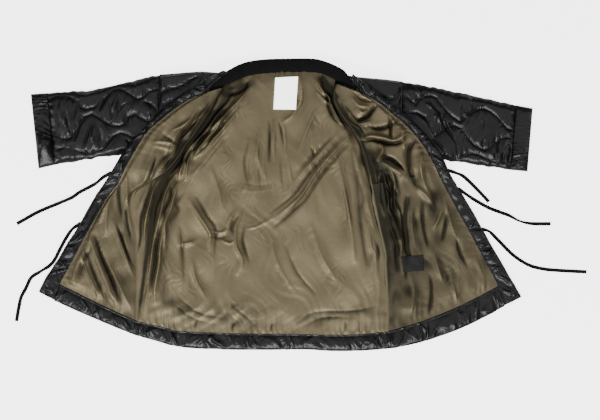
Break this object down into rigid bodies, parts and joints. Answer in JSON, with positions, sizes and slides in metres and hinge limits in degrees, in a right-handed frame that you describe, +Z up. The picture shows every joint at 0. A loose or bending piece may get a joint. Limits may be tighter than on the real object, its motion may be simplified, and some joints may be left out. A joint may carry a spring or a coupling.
{
  "type": "padded coat laid open",
  "caption": "Open padded coat lying flat on its back: quilted glossy shell, satin lining, matte neck band, puffed facings and tape ties.",
  "frame": {"origin": "on the surface under the coat, at the centre of its outline without the ties", "axes": "+X along the sleeves, towards the right of the picture; +Y from the hem to the neck; +Z up, out of the lining"},
  "size_m": [1.5442, 0.7867, 0.041],
  "materials": {
    "shell_nylon": "glossy black quilted nylon",
    "lining_satin": "olive satin with a soft sheen",
    "matte_tape": "matte black woven cloth",
    "label_white": "plain white woven tape",
    "label_black": "plain black satin tape"
  },
  "bodies": {
    "root": {"back_shell": "shell_nylon", "left_front_shell": "shell_nylon", "right_front_shell": "shell_nylon", "left_sleeve": "shell_nylon", "right_sleeve": "shell_nylon", "left_cuff": "shell_nylon", "right_cuff": "shell_nylon", "left_front_facing": "shell_nylon", "right_front_facing": "shell_nylon", "left_hem_facing": "shell_nylon", "back_hem_facing": "shell_nylon", "right_hem_facing": "shell_nylon", "back_lining": "lining_satin", "left_front_lining": "lining_satin", "right_front_lining": "lining_satin", "neck_band": "matte_tape", "left_upper_tie": "matte_tape", "left_lower_tie": "matte_tape", "right_upper_tie": "matte_tape", "right_middle_tie": "matte_tape", "right_lower_tie": "matte_tape", "neck_label": "label_white", "care_label": "label_black"}
  },
  "joints": []
}
